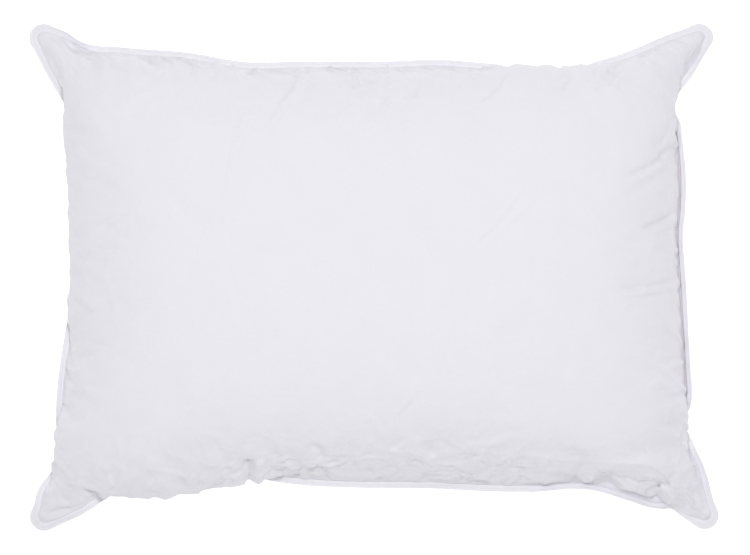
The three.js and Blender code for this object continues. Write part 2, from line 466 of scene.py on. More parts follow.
def rim_distance(xs, ys):
    """How far each place of a flat grid lies from the nearest seam."""
    return np.minimum((CUT_X / 2 - np.abs(xs))[:, None], (CUT_Y / 2 - np.abs(ys))[None])


def pressed_flat(z):
    """Height above the floor of cloth that would reach height z if the floor weren't there."""
    return REST_SOFTNESS * np.logaddexp(0, z / REST_SOFTNESS)


# ---- the outline

class SideView:
    """One side of the cover's grids, turned so that rows run along it and columns inwards from the seam."""

    def __init__(self, name, flat_x, flat_y):
        self.name = name
        self.axis = 1 if name in ("front", "back") else 0
        self.sign = 1 if name in ("right", "back") else -1
        self.along, across = (flat_x, flat_y) if self.axis else (flat_y, flat_x)
        self.depth = across - across[0]

    def turned(self, grid):
        """The grid as [along, inwards], a view that writes back to it."""
        grid = grid if self.axis else grid.transpose(1, 0, 2)
        return grid[:, ::-1] if self.sign > 0 else grid

    def share_of(self, stretches, places, blend):
        """1 inside this side's stretches, falling to 0 round either end of each."""
        share = np.zeros_like(places)
        for start, end in stretches[self.name]:
            rise = smoothstep((places - start * MM) / blend + 0.5)
            fall = smoothstep((end * MM - places) / blend + 0.5)
            share = np.maximum(share, rise * fall)
        return share

    def overhang(self, places):
        """How fully this side bulges over its piping at places along it, from 0 to 1."""
        return self.share_of(OVERHANGS, places, ROLL_BLEND)

    def piping_pitch(self, places):
        """How far the piping points down at places along this side."""
        tuck = self.share_of(OVERHANGS, places, TUCK_BLEND) * (PIPING_TUCK - PIPING_PITCH)
        upturn = self.share_of(UPTURNS, places, UPTURN_BLEND) * (PIPING_PITCH + PIPING_UPTURN)
        return PIPING_PITCH + tuck - upturn


def roll_under(side, grids):
    """Turns the seam under the bulge of the filling along the side's overhangs."""
    rim = side.turned(grids[0])[:, 0].copy()
    share = side.overhang(rim[:, 1 - side.axis])[:, None]
    angle = ROLL_ANGLE * share * (1 - smoothstep(side.depth / ROLL_REACH))[None]
    swell = PLUMP * share * (side.depth / PLUMP_DEPTH * np.exp(1 - side.depth / PLUMP_DEPTH))[None]
    for grid in grids:
        turned = side.turned(grid)
        out = side.sign * (turned[:, :, side.axis] - rim[:, None, side.axis]) + ROLL_ARM
        up = turned[:, :, 2] - rim[:, None, 2]
        rolled = out * np.cos(angle) + up * np.sin(angle)
        turned[:, :, 2] = rim[:, None, 2] + up * np.cos(angle) - out * np.sin(angle)
        turned[:, :, side.axis] = rim[:, None, side.axis] + side.sign * (rolled - ROLL_ARM + swell)


def fit_outline(side, grids):
    """Shifts the side in or out so that its edge, piping included, follows the outline."""
    half = len(side.depth) // 2
    rim = side.turned(grids[0])[:, 0]
    places = rim[:, 1 - side.axis]
    bulge = np.max([(side.sign * side.turned(g)[:, :half, side.axis]).max(1) for g in grids], 0)
    edge = side.sign * rim[:, side.axis] + PIPING_WIDTH * np.cos(side.piping_pitch(places))
    shift = through(OUTLINE[side.name], places) - np.maximum(edge, bulge)
    ends = max(2, round(OUTLINE_ENDS / (side.along[1] - side.along[0])))
    shift[:ends] = shift[ends]
    shift[-ends:] = shift[-ends - 1]
    shift = smoothed(shift, OUTLINE_EASE / SIM_CELL)
    fade = 1 - smoothstep(side.depth / OUTLINE_REACH)
    for grid in grids:
        side.turned(grid)[:, :, side.axis] += side.sign * shift[:, None] * fade[None]


def calmed(grids):
    """The cover with its simulated puckers softened, and its seam drawn as one smooth line."""
    spread = CALM_WIDTH / SIM_CELL
    near_rim = np.exp(-rim_distance(flat_places(CUT_X), flat_places(CUT_Y)) / RIM_FADE)[..., None]
    share = CALM_SHARE + (1 - CALM_SHARE) * near_rim
    calm = []
    for grid in grids:
        smooth = smoothed(smoothed(grid, spread).transpose(1, 0, 2), spread).transpose(1, 0, 2)
        away_from_tip = smoothstep(tip_distance(grid) / CALM_TIP_REACH)[..., None]
        calm.append(grid + (smooth - grid) * share * away_from_tip)
    return calm


def shaped_cover(grids):
    """The seated cover with its own outline, its overhangs and its drooping ears."""
    grids = calmed(grids)
    sides = [SideView(name, flat_places(CUT_X), flat_places(CUT_Y)) for name in SIDES]
    for side in sides:
        roll_under(side, grids)
    for side in sides:
        fit_outline(side, grids)
    for grid in grids:
        grid[:, :, 2] -= EAR_DROOP * (1 - smoothstep(tip_distance(grid) / EAR_REACH))
    return grids


# ---- fine surfaces and their relief

def fine_grid(coarse, xs, ys):
    """A cover grid read at finer flat places, with its four corners rounded."""
    across = read_weights((xs + CUT_X / 2) / CUT_X * (coarse.shape[0] - 1), coarse.shape[0])
    along = read_weights((ys + CUT_Y / 2) / CUT_Y * (coarse.shape[1] - 1), coarse.shape[1])
    grid = np.tensordot(along, np.tensordot(across, coarse, (1, 0)), (1, 1)).transpose(1, 0, 2)
    past_x = np.clip(np.abs(xs) - CUT_X / 2 + CORNER_RADIUS, 0, None)[:, None]
    past_y = np.clip(np.abs(ys) - CUT_Y / 2 + CORNER_RADIUS, 0, None)[None]
    distance = np.hypot(past_x, past_y)
    square = np.maximum(past_x, past_y)
    keep = np.divide(square, distance, out=np.ones_like(distance), where=distance > 0)
    grid[:, :, 0] -= np.sign(xs)[:, None] * past_x * (1 - keep)
    grid[:, :, 1] -= np.sign(ys)[None] * past_y * (1 - keep)
    return grid


def grid_normals(grid):
    """Unit normals of a grid whose axes run along +X and +Y, pointing to +Z."""
    normals = np.cross(np.gradient(grid, axis=0), np.gradient(grid, axis=1))
    return normals / np.linalg.norm(normals, axis=-1, keepdims=True)


def crease_profile(across):
    """A sharp ridge at 0 and a lower valley on its positive side, across in the crease's own width."""
    ridge = np.exp(-np.abs(across) ** CREASE_SHARPNESS)
    return ridge - VALLEY_SHARE * np.exp(-((across - VALLEY_PLACE) / VALLEY_WIDTH) ** 2)


def gathers(side, seed):
    """Small folds that run inwards from the seam, as heights over the side's [along, inwards] grid."""
    rng = np.random.default_rng(seed)
    length = np.ptp(side.along)
    height = np.zeros((len(side.along), len(side.depth)))
    for _ in range(int(length / GATHER_SPACING)):
        place = rng.uniform(-length / 2, length / 2)
        size = rng.uniform(*GATHER_SIZES) * rng.choice(GATHER_TURNS)
        half_width = rng.uniform(*GATHER_HALF_WIDTHS)
        reach = rng.uniform(*GATHER_REACHES)
        lean = rng.normal(GATHER_LEAN[side.name], LEAN_SPREAD)
        offset = side.along[:, None] - place - lean * side.depth[None]
        width = half_width * (1 + GATHER_WIDENING * side.depth / reach)
        fade = np.exp(-(side.depth / reach) ** GATHER_FADE)
        height += GATHER_HEIGHT[side.name] * size * fade * crease_profile(offset / width)
    return height


def fold(plan, start, end, bend, width, height):
    """One fold from start to end, as heights over plan positions: a valley with a ridge on its left.

    All sizes are in millimetres. bend is how far the fold's middle swings to its left, and a
    negative height makes a ridge with a valley on its left.
    """
    start, end = np.array(start) * MM, np.array(end) * MM
    run = end - start
    length = np.hypot(*run)
    forward = run / length
    left = np.array([-forward[1], forward[0]])
    share = (plan - start) @ forward / length
    arch = 4 * share * (1 - share)
    across = (plan - start) @ left / (width * MM) - bend / width * arch
    ends = smoothstep(share / FOLD_TAPER) * smoothstep((1 - share) / FOLD_TAPER)
    return -height * MM * ends * crease_profile(across)


def crumple(x, y, grain, seed):
    """Sharp little creases that cross one another, with ridges near 1 and hollows below 0."""
    u, v = x / grain, y / grain
    bend_u, bend_v = [noise_at(u / CRUMPLE_BEND_GRAIN, v / CRUMPLE_BEND_GRAIN, seed + k) for k in (0, 1)]
    field = noise_at(u + CRUMPLE_BEND * bend_u, v + CRUMPLE_BEND * bend_v, seed + 2)
    return 1 - 2 * np.sqrt(np.abs(field) + CRUMPLE_BLUNTNESS)


def ear_streaks(x, y, seed):
    """Fine pulls in the cloth that point at the nearest corner and fade out from it."""
    away_x, away_y = CUT_X / 2 - np.abs(x), CUT_Y / 2 - np.abs(y)
    distance = np.hypot(away_x, away_y)
    angle = np.arctan2(away_y, away_x)
    quarter = STREAK_SHIFTS[0] * (x > 0) + STREAK_SHIFTS[1] * (y > 0)
    pull = noise_at(angle * STREAK_FAN + quarter, distance / STREAK_LENGTH + quarter, seed)
    return pull * smoothstep(distance / STREAK_START) * np.exp(-(distance / STREAK_REACH) ** 2)


def relief(xs, ys, sides, seed):
    """Heights of the filling's lumps, the cloth's crumple and the gathers over a panel's grid."""
    x, y = np.meshgrid(xs, ys, indexing="ij")
    height = np.zeros_like(x)
    rough = np.full_like(x, CRUMPLE_MIDDLE)
    for k, side in enumerate(sides):
        band = CRUMPLE_BAND[side.name] * np.exp(-((side.depth - CRUMPLE_DEPTH) / CRUMPLE_DEPTH) ** 2)
        side.turned(rough[..., None])[..., 0] += band
        side.turned(height[..., None])[..., 0] += gathers(side, seed + SEED_STEPS["gathers"] + k)
    patches = noise_at(x / PATCH_GRAIN, y / PATCH_GRAIN, seed + SEED_STEPS["patches"])
    rough *= PATCH_LEAST + smoothstep(0.5 + PATCH_CONTRAST * patches)
    for k, (grain, share) in enumerate(CRUMPLES):
        creases = crumple(x, y, grain, seed + SEED_STEPS["crumple"] + CRUMPLE_SEED_STEP * k)
        height += CRUMPLE_HEIGHT * share * rough * creases
    from_tip = np.hypot(CUT_X / 2 - np.abs(x), CUT_Y / 2 - np.abs(y))
    height *= TIP_CALM + (1 - TIP_CALM) * smoothstep(from_tip / TIP_CALM_REACH)
    height += LUMP_HEIGHT * noise_grid(xs, ys, LUMP_GRAIN, seed + SEED_STEPS["lumps"])
    return height + STREAK_HEIGHT * ear_streaks(x, y, seed + SEED_STEPS["streaks"])


# ---- the seam line

def loop_of(columns, rows):
    """Grid places of the rim, once round from the front left corner, along +X first."""
    i = np.arange(columns - 1)
    j = np.arange(rows - 1)
    front = np.stack([i, np.zeros_like(i)])
    right = np.stack([np.full_like(j, columns - 1), j])
    back = np.stack([columns - 1 - i, np.full_like(i, rows - 1)])
    left = np.stack([np.zeros_like(j), rows - 1 - j])
    return np.concatenate([front, right, back, left], 1)


def unit(vectors):
    return vectors / np.linalg.norm(vectors, axis=-1, keepdims=True)


class EdgeLine:
    """A line round the cover's edge, with the directions out along the piping and up from it."""

    def __init__(self, places, length, points, out, up):
        self.places = places
        self.length = length
        self.points = points
        self.out = out
        self.up = up

    def at(self, out, up):
        """The line's points moved out along the piping and up from it by the given distances."""
        out, up = [np.broadcast_to(shift, self.places.shape)[:, None] for shift in (out, up)]
        return self.points + out * self.out + up * self.up

    def read(self, places):
        """The line at other places round the edge."""
        closed = np.append(self.places, self.length)
        at = places % self.length
        read = []
        for values in (self.points, self.out, self.up):
            wrapped = np.vstack([values, values[:1]])
            read.append(np.stack([np.interp(at, closed, column) for column in wrapped.T], -1))
        points, out, up = read
        return EdgeLine(places, self.length, points, unit(out), unit(up))

    def tilted(self, angle):
        """The line with its piping turned down by an angle at each point."""
        cos, sin = np.cos(angle)[:, None], np.sin(angle)[:, None]
        out = cos * self.out - sin * self.up
        return EdgeLine(self.places, self.length, self.points, out, sin * self.out + cos * self.up)


def seam_line(rim_grid, sides):
    """The seam of the finished cover, read off the rim of its grid."""
    pitch = np.full(rim_grid.shape[:2] + (1,), PIPING_PITCH)
    for side in sides:
        side.turned(pitch)[:, 0, 0] = side.piping_pitch(side.turned(rim_grid)[:, 0, 1 - side.axis])
    i, j = loop_of(*rim_grid.shape[:2])
    points = rim_grid[i, j]
    steps = np.linalg.norm(np.roll(points, -1, 0) - points, axis=1)
    places = np.concatenate([[0], np.cumsum(steps)])
    along = smoothed(np.roll(points, -1, 0) - np.roll(points, 1, 0), RUN_EASE, wrap=True)
    level = unit(np.stack([along[:, 1], -along[:, 0], np.zeros(len(along))], -1))
    upright = np.tile([0.0, 0.0, 1.0], (len(level), 1))
    line = EdgeLine(places[:-1], places[-1], points, level, upright)
    return line.tilted(smoothed(pitch[i, j, 0], PITCH_EASE, wrap=True))


# ---- meshes

def add_piece(name, points, faces, material, cut=None):
    """A smooth mesh piece. cut gives each vertex's place on the flat cloth, for the weave to follow."""
    mesh = bpy.data.meshes.new(name)
    mesh.from_pydata(points.tolist(), [], faces)
    mesh.polygons.foreach_set("use_smooth", np.ones(len(mesh.polygons), bool))
    if cut is not None:
        corners = np.zeros(len(mesh.loops), int)
        mesh.loops.foreach_get("vertex_index", corners)
        mesh.uv_layers.new(name="cut").data.foreach_set("uv", cut[corners].astype(np.float32).ravel())
    mesh.materials.append(material)
    mesh.update()
    piece = bpy.data.objects.new(name, mesh)
    bpy.context.scene.collection.objects.link(piece)
    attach(piece, "root")
    return piece


def strip_quads(inner, outer):
    """Quads between two closed rows of vertices, facing +Z when the rows run round it anticlockwise."""
    return np.stack([inner, outer, np.roll(outer, -1), np.roll(inner, -1)], -1)


def vertex_normals(points, quads):
    corners = points[quads]
    facing = np.cross(corners[:, 2] - corners[:, 0], corners[:, 3] - corners[:, 1])
    normals = np.zeros_like(points)
    for k in range(4):
        np.add.at(normals, quads[:, k], facing)
    return unit(normals)


def closed_shell(points, quads, border, upper):
    """The cloth between an outer face and an inner one, as points and quads of one closed body."""
    normals = vertex_normals(points, quads)
    inner = points - (1 if upper else -1) * CLOTH * normals
    count = len(points)
    hem = np.stack([np.roll(border, -1), border, border + count, np.roll(border, -1) + count], -1)
    faces = np.vstack([quads, quads[:, ::-1] + count, hem])
    return np.vstack([points, inner]), faces if upper else faces[:, ::-1]


# ---- the cover panels

def lip_rings(seam, upper, ripple):
    """Rings of cloth, from the panel's rim on, that roll over the piping and turn in behind the seam."""
    side = 1 if upper else -1
    radius = LIP_RADIUS * (1 + ripple)
    centre = PIPING_NECK + radius
    rings = []
    for angle in LIP_ANGLES:
        out = radius * (math.cos(angle) - LIP_INSET)
        rings.append(seam.at(out, side * (centre + radius * math.sin(angle))))
    corner = np.prod(np.clip(np.abs(seam.points[:, :2]) / (TIP_X, TIP_Y), 0, 1), 1)
    shrink = (CORNER_ALLOWANCE - ALLOWANCE) * smoothstep((corner - CORNER_START) / CORNER_BLEND)
    for share in ALLOWANCE_RINGS:
        rings.append(seam.at(-share * (ALLOWANCE + shrink), side * PIPING_NECK))
    return rings


def raised_grid(coarse, xs, ys, sides, upper, folds, seed):
    """A panel's fine grid with its relief and its folds raised outwards."""
    grid = fine_grid(coarse, xs, ys)
    height = relief(xs, ys, sides, seed)
    for line in folds:
        height += fold(grid[:, :, :2], *line)
    height *= (1 if upper else -1) * smoothstep(rim_distance(xs, ys) / RELIEF_MARGIN)
    return grid + grid_normals(grid) * height[..., None]


def eased_to_ring(grid, ring, sides):
    """The grid with its rim moved onto a ring and the cloth near it carried along, above the floor."""
    i, j = loop_of(*grid.shape[:2])
    shift = np.zeros_like(grid)
    shift[i, j] = ring - grid[i, j]
    spread = np.zeros_like(grid)
    total = np.zeros(grid.shape[:2] + (1,))
    for side in sides:
        fade = (1 - smoothstep(side.depth / LIP_REACH))[None, :, None]
        side.turned(spread)[:] += side.turned(shift)[:, :1] * fade
        side.turned(total)[:] += fade
    grid = grid + spread / np.maximum(total, 1)
    grid[:, :, 2] = np.maximum(grid[:, :, 2], 0)
    grid[i, j] = ring
    return grid


def make_panel(name, node, coarse, xs, ys, sides, seam, upper, folds):
    """One cover panel: a closed shell of cloth with its turned-in allowance."""
    seed = PANEL_SEEDS[name]
    grid = raised_grid(coarse, xs, ys, sides, upper, folds, seed)
    ripple = noise_loop(seam.places, seam.length, LIP_RIPPLE_GRAIN, seed + SEED_STEPS["ripple"])
    rings = lip_rings(seam, upper, np.clip(LIP_RIPPLE * ripple, *LIP_RIPPLE_LIMITS))
    i, j = loop_of(len(xs), len(ys))
    index = np.arange(len(xs) * len(ys)).reshape(len(xs), len(ys))
    flat = np.stack(np.meshgrid(xs, ys, indexing="ij"), -1)
    points = [eased_to_ring(grid, rings[0], sides).reshape(-1, 3)]
    quads = [grid_quads(index)]
    cut = [flat.reshape(-1, 2)]
    row, used = index[i, j], index.size
    for k, ring in enumerate(rings[1:], 1):
        next_row = used + np.arange(len(ring))
        quads.append(strip_quads(row, next_row))
        points.append(ring)
        cut.append(flat[i, j] * (1 + RING_CUT_STEP * k))
        row, used = next_row, used + len(ring)
    points, quads = closed_shell(np.vstack(points), np.vstack(quads), row, upper)
    cut = np.vstack(cut + cut)
    piece = add_piece(name, points, quads.tolist(), MATERIALS["cover_cloth"], cut)
    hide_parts(node)
    return piece


# ---- piping and threads

def piping_line(seam):
    """The seam line at the piping's own close steps, with the piping's waves in its directions."""
    count = round(seam.length / PIPING_STEP)
    places = np.arange(count) * seam.length / count
    sway = noise_loop(places, seam.length, SWAY_GRAIN, SWAY_SEED)
    flutter = noise_loop(places, seam.length, FLUTTER_GRAIN, FLUTTER_SEED)
    return seam.read(places).tilted(PIPING_SWAY * sway + PIPING_FLUTTER * flutter)


def tip_share(points):
    """1 at the corner tips, falling to 0 a little way from them."""
    return np.exp(-(tip_distance(points) / TIP_SPAN) ** 2)


def piping_section():
    """The folded strip's section as (out, up) rows, round its outer face and back along its inner one."""
    upper = np.array(PIPING_PROFILE) * MM
    outer = np.vstack([upper, (upper * (1, -1))[-2::-1]])
    along = np.gradient(outer, axis=0)
    inner = outer + PIPING_CLOTH * unit(np.stack([along[:, 1], -along[:, 0]], -1))
    return np.vstack([outer, inner[::-1]])


def make_piping(line):
    """The piping: a folded strip of cloth that runs out of the seam, stitched near its fold."""
    rib = np.cos(2 * math.pi * round(line.length / STITCH_PITCH) * line.places / line.length)
    section = piping_section()
    widening = TIP_WIDENING * tip_share(line.points)
    rows = []
    for out, up in section:
        puff = PIPING_RIB * smoothstep(2 * out / PIPING_WIDTH)
        reach = out * (1 + (widening if out > 0 else -TIP_NARROWING * widening))
        rows.append(line.at(reach * (1 + PIPING_SCALLOP * rib), up * (1 + puff * rib)))
    index = np.arange(len(rows) * len(rib)).reshape(len(rows), -1)
    wrapped = np.pad(index, ((0, 1), (0, 1)), mode="wrap")
    across = np.concatenate([[0], np.cumsum(np.linalg.norm(np.diff(section, axis=0), axis=1))])
    cut = np.stack(np.broadcast_arrays(line.places[None], across[:, None]), -1).reshape(-1, 2)
    quads = grid_quads(wrapped).tolist()
    piece = add_piece("piping", np.vstack(rows), quads, MATERIALS["piping_cloth"], cut)
    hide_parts("edge_piping")
    return piece


def tube(path, across, radius, closed):
    """Points and quads of a round thread along a path; across points sideways out of its bends."""
    run = np.roll(path, -1, 0) - np.roll(path, 1, 0) if closed else np.gradient(path, axis=0)
    lift = unit(np.cross(run, across))
    turns = np.arange(THREAD_SIDES) * 2 * math.pi / THREAD_SIDES
    points = path[:, None] + radius * (
        np.cos(turns)[None, :, None] * across[:, None] + np.sin(turns)[None, :, None] * lift[:, None])
    index = np.arange(len(path) * THREAD_SIDES).reshape(len(path), THREAD_SIDES)
    index = np.pad(index, ((0, 1 if closed else 0), (0, 1)), mode="wrap")
    quads = grid_quads(index)
    points = points.reshape(-1, 3)
    if closed:
        return points, quads
    ends = np.array([path[0], path[-1]])
    caps = []
    for k in range(THREAD_SIDES):
        caps.append([index[0, k], index[0, k + 1], len(points), len(points)])
        caps.append([index[-1, k + 1], index[-1, k], len(points) + 1, len(points) + 1])
    return np.vstack([points, ends]), np.vstack([quads, caps])


def make_stitches(name, node, slot, line, out, face, height, span):
    """A row of lockstitches: a thread that lies on one face of the cloth and dips in at each hole.

    out is its distance from the seam and height its own height over the middle of the piping. Without
    a span from one place to another it runs all round.
    """
    start, end = span or (0, line.length)
    stitches = round((end - start) / STITCH_PITCH)
    steps = stitches * STITCH_STEPS
    places = start + (end - start) * np.arange(steps + (span is not None)) / steps
    row = line.read(places)
    phase = stitches * (places - start) / (end - start)
    dip = np.exp(-((phase - np.round(phase)) / STITCH_DIP) ** 2)
    slant = STITCH_SLANT * np.sin(2 * math.pi * phase)
    if out > 0:
        out = out * (1 + TIP_WIDENING * tip_share(row.points))
    path = row.at(out + slant, face * (height - (height - STITCH_LOCK) * dip))
    points, quads = tube(path, row.out, THREAD / 2, span is None)
    faces = [[v for k, v in enumerate(quad) if v != quad[k - 1]] for quad in quads.tolist()]
    piece = add_piece(name, points, faces, MATERIALS[slot])
    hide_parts(node)
    return piece


def closing_span(line):
    """Where the closing seam starts and ends along the line: the middle of the +X end, and a little on."""
    low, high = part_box("closing_needle_thread")
    x, y = line.points[:, 0], line.points[:, 1]
    on_end = (x > TIP_X / 2) & (np.abs(y) < TIP_Y - CLOSING_MARGIN)
    span = (low.y, high.y + CLOSING_OVERRUN)
    return [float(np.interp(end, y[on_end], line.places[on_end])) for end in span]


def make_threads(line):
    """Three rows of lockstitches, each with its needle thread above and its bobbin thread below."""
    for row, (slot, out, height) in STITCH_ROWS.items():
        span = closing_span(line) if row == "closing" else None
        for thread, face in (("needle", 1), ("bobbin", -1)):
            name, node = f"{row}_{thread}_stitches", f"{row}_{thread}_thread"
            make_stitches(name, node, slot, line, out, face, height, span)


# ---- fill

def make_fill(grids):
    """The down filling: one lumpy body that fills the cover a little short of its cloth and seam."""
    xs = np.linspace(-CUT_X / 2 + FILL_MARGIN, CUT_X / 2 - FILL_MARGIN, round(CUT_X / FILL_CELL))
    ys = np.linspace(-CUT_Y / 2 + FILL_MARGIN, CUT_Y / 2 - FILL_MARGIN, round(CUT_Y / FILL_CELL))
    layers = []
    for grid, inward, folds, seed in zip(grids, (-1, 1), (UPPER_FOLDS, []), FILL_SEEDS):
        layer = fine_grid(grid, xs, ys)
        valleys = sum(np.minimum(fold(layer[:, :, :2], *line), 0) for line in folds)
        tufts = sum(depth * np.abs(noise_grid(xs, ys, grain, seed + k))
                    for k, (grain, depth) in enumerate(FILL_TUFTS))
        layer = layer + grid_normals(layer) * (inward * (FILL_GAP + tufts - valleys))[..., None]
        layers.append(layer)
    index = np.arange(len(xs) * len(ys)).reshape(len(xs), len(ys))
    i, j = loop_of(len(xs), len(ys))
    upper_rim, lower_rim = index[i, j], index[i, j] + index.size
    wall = strip_quads(lower_rim, upper_rim)[:, ::-1]
    faces = np.vstack([grid_quads(index), grid_quads(index)[:, ::-1] + index.size, wall])
    points = np.vstack([layer.reshape(-1, 3) for layer in layers])
    points[:, 2] = np.maximum(points[:, 2], FILL_GAP)
    piece = add_piece("down_fill", points, faces.tolist(), MATERIALS["down_fill"])
    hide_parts("fill")
    return piece


# ---- materials

# Blender's wave texture repeats after this many units.
WAVE_PERIOD = 2 * math.pi / 20

# Texture features to the metre.
SLUB_SCALES = (70, 900)
MOTTLE_SCALE = 22
RUMPLE_SCALE = 85
FIBRE_SCALE = 900
SPUN_SCALE = 300
CLUSTER_SCALE = 60
TUFT_SCALE = 180
PAPER_SCALE = 40

# How much of a cloth's tone its slubs make. The rest is its mottling.
SLUB_TONE = 0.35


class Shader:
    """A node material under construction, with short ways to add and join its nodes."""

    def __init__(self, name, roughness, sheen):
        self.material = bpy.data.materials.new(name)
        self.material.use_nodes = True
        self.tree = self.material.node_tree
        self.surface = self.tree.nodes["Principled BSDF"]
        self.surface.inputs["Roughness"].default_value = roughness
        self.surface.inputs["Sheen Weight"].default_value = sheen
        self.surface.inputs["Specular IOR Level"].default_value = 0.2

    def node(self, kind, **settings):
        """A node with its properties and input values set; an input may also be another node's output."""
        node = self.tree.nodes.new(kind)
        for key, value in settings.items():
            socket = node.inputs.get(key.title())
            if socket is None:
                setattr(node, key, value)
            elif isinstance(value, bpy.types.NodeSocket):
                self.tree.links.new(value, socket)
            else:
                socket.default_value = value
        return node

    def mapped(self, source, scale, scale_y=None):
        """Coordinates stretched so that one unit spans 1 / scale metres, or 1 / scale_y on their Y."""
        node = self.tree.nodes.new("ShaderNodeMapping")
        self.tree.links.new(source, node.inputs["Vector"])
        node.inputs["Scale"].default_value = (scale, scale_y or scale, scale)
        return node.outputs["Vector"]

    def noise(self, vector, detail=2.0, roughness=0.5, distortion=0.0):
        return self.node("ShaderNodeTexNoise", vector=vector, scale=1.0, detail=detail,
                         roughness=roughness, distortion=distortion).outputs["Fac"]

    def waves(self, vector, direction):
        return self.node("ShaderNodeTexWave", vector=vector, scale=1.0, distortion=0.4,
                         detail=1.0, bands_direction=direction).outputs["Fac"]

    def math(self, operation, first, second):
        node = self.tree.nodes.new("ShaderNodeMath")
        node.operation = operation
        for socket, value in zip(node.inputs, (first, second)):
            if isinstance(value, bpy.types.NodeSocket):
                self.tree.links.new(value, socket)
            else:
                socket.default_value = value
        return node.outputs[0]

    def colours(self, factor, stops):
        """A colour ramp through (position, colour) stops."""
        ramp = self.tree.nodes.new("ShaderNodeValToRGB")
        self.tree.links.new(factor, ramp.inputs["Fac"])
        elements = ramp.color_ramp.elements
        while len(elements) < len(stops):
            elements.new(0.5)
        for element, (position, colour) in zip(elements, stops):
            element.position = position
            element.color = (*colour, 1)
        self.tree.links.new(ramp.outputs["Color"], self.surface.inputs["Base Color"])

    def bumps(self, layers):
        """Bump layers (height, depth in metres, strength), each on top of the one before."""
        below = None
        for height, depth, strength in layers:
            bump = self.node("ShaderNodeBump", height=height, distance=depth, strength=strength)
            if below:
                self.tree.links.new(below.outputs["Normal"], bump.inputs["Normal"])
            below = bump
        self.tree.links.new(below.outputs["Normal"], self.surface.inputs["Normal"])


def woven(name, light, dark, roughness, sheen, thread_pitch):
    """Fine plain-woven cotton: crossed yarns, uneven slubs both ways and a soft mottling."""
    shader = Shader(name, roughness, sheen)
    flat = shader.node("ShaderNodeUVMap", uv_map="cut").outputs["UV"]
    yarns = WAVE_PERIOD / thread_pitch
    warp = shader.waves(shader.mapped(flat, yarns), "X")
    weft = shader.waves(shader.mapped(flat, yarns), "Y")
    weave = shader.math("MAXIMUM", warp, weft)
    slub_x = shader.noise(shader.mapped(flat, *SLUB_SCALES))
    slub_y = shader.noise(shader.mapped(flat, *SLUB_SCALES[::-1]))
    slubs = shader.math("ADD", slub_x, slub_y)
    mottle = shader.noise(shader.mapped(flat, MOTTLE_SCALE), detail=4.0, roughness=0.6)
    rumple = shader.noise(shader.mapped(flat, RUMPLE_SCALE), detail=3.0, roughness=0.55, distortion=0.8)
    tone = shader.math("MULTIPLY_ADD", slubs, SLUB_TONE)
    shader.tree.links.new(mottle, tone.node.inputs[2])
    shader.colours(tone, ((0.6, dark), (1.1, light)))
    shader.bumps(((rumple, 0.9 * MM, 0.5), (slubs, 0.12 * MM, 0.5), (weave, 0.06 * MM, 0.4)))
    return shader.material


def spun_thread(name, light, dark):
    """Spun sewing thread: fibres that wind round it, a little uneven in tone."""
    shader = Shader(name, roughness=0.75, sheen=0.3)
    place = shader.node("ShaderNodeTexCoord").outputs["Object"]
    fibres = shader.waves(shader.mapped(place, FIBRE_SCALE), "DIAGONAL")
    tone = shader.noise(shader.mapped(place, SPUN_SCALE), detail=3.0)
    shader.colours(tone, ((0.3, dark), (0.7, light)))
    shader.bumps(((fibres, 0.08 * MM, 0.6),))
    return shader.material


def down(name):
    """Down clusters with small feathers among them: soft tufts with fine quills over them."""
    shader = Shader(name, roughness=0.9, sheen=0.4)
    place = shader.node("ShaderNodeTexCoord").outputs["Object"]
    clusters = shader.node("ShaderNodeTexVoronoi", vector=place, scale=CLUSTER_SCALE).outputs["Distance"]
    tufts = shader.noise(shader.mapped(place, TUFT_SCALE), detail=6.0, roughness=0.7, distortion=1.5)
    shader.colours(tufts, ((0.3, (0.74, 0.69, 0.6)), (0.7, (0.93, 0.91, 0.86))))
    shader.bumps(((clusters, 3 * MM, 0.5), (tufts, 1.2 * MM, 0.8)))
    return shader.material


def floor_material():
    """Pale studio paper that gives off a little light, so that it stays nearly white all over."""
    shader = Shader("studio_paper", roughness=0.9, sheen=0.0)
    place = shader.node("ShaderNodeTexCoord").outputs["Object"]
    grain = shader.noise(shader.mapped(place, PAPER_SCALE), detail=3.0)
    shader.colours(grain, ((0.3, (0.9, 0.9, 0.9)), (0.7, (0.93, 0.93, 0.93))))
    shader.surface.inputs["Emission Color"].default_value = (1, 1, 1, 1)
    shader.surface.inputs["Emission Strength"].default_value = FLOOR_GLOW
    return shader.material


MATERIALS = {
    "cover_cloth": woven("cover_cloth", light=(0.81, 0.8, 0.85), dark=(0.795, 0.785, 0.835),
                         roughness=0.85, sheen=0.15, thread_pitch=0.32 * MM),
    "piping_cloth": woven("piping_cloth", light=(0.84, 0.83, 0.88), dark=(0.79, 0.78, 0.83),
                          roughness=0.8, sheen=0.2, thread_pitch=0.28 * MM),
    "white_thread": spun_thread("white_thread", light=(0.9, 0.9, 0.91), dark=(0.78, 0.78, 0.8)),
    # Ecru thread darkened to a brown: the thread's own colour plus painted shade of the seam's groove.
    "ecru_thread": spun_thread("ecru_thread", light=(0.36, 0.26, 0.2), dark=(0.2, 0.14, 0.11)),
    "down_fill": down("down_fill"),
}
